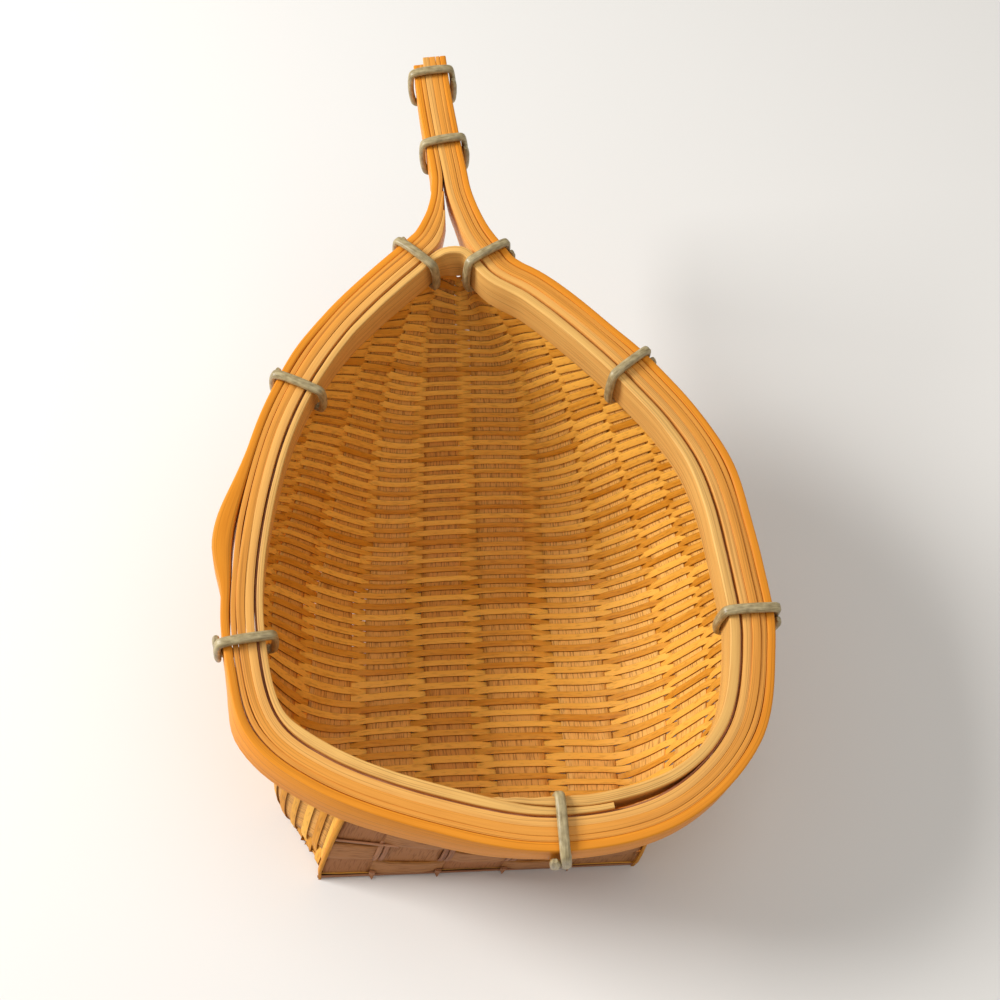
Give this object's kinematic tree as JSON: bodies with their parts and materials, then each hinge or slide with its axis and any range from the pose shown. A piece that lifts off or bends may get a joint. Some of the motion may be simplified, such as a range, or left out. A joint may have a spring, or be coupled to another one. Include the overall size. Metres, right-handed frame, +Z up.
{
  "type": "bamboo scoop basket",
  "caption": "Woven bamboo scoop with a flat base, a rising back, a tied rim of split bamboo strips and a short handle made by the ends of the rim.",
  "frame": {"origin": "under the middle of the object's box, on the surface it stands on", "axes": "+X to the right of someone facing the front of the bowl, +Y from the front of the bowl to the tip of the handle, +Z up"},
  "size_m": [0.1292, 0.2154, 0.0791],
  "materials": {
    "weave": "satin split bamboo",
    "stake": "satin split bamboo",
    "hoop": "pale cut bamboo",
    "splint": "smooth bamboo skin",
    "cord": "waxed cord"
  },
  "bodies": {
    "root": {"woven_wall": "weave", "stake_01": "stake", "stake_02": "stake", "stake_03": "stake", "stake_04": "stake", "stake_05": "stake", "stake_06": "stake", "stake_07": "stake", "stake_08": "stake", "stake_09": "stake", "stake_10": "stake", "inner_hoop": "hoop", "rim_splint_inner": "splint", "rim_splint_third": "splint", "rim_splint_second": "splint", "rim_splint_outer": "splint", "tie_neck_right": "cord", "tie_right_upper": "cord", "tie_right_lower": "cord", "tie_front": "cord", "tie_left_lower": "cord", "tie_left_upper": "cord", "tie_neck_left": "cord", "tie_handle_tip": "cord", "tie_handle_neck": "cord"}
  },
  "joints": []
}
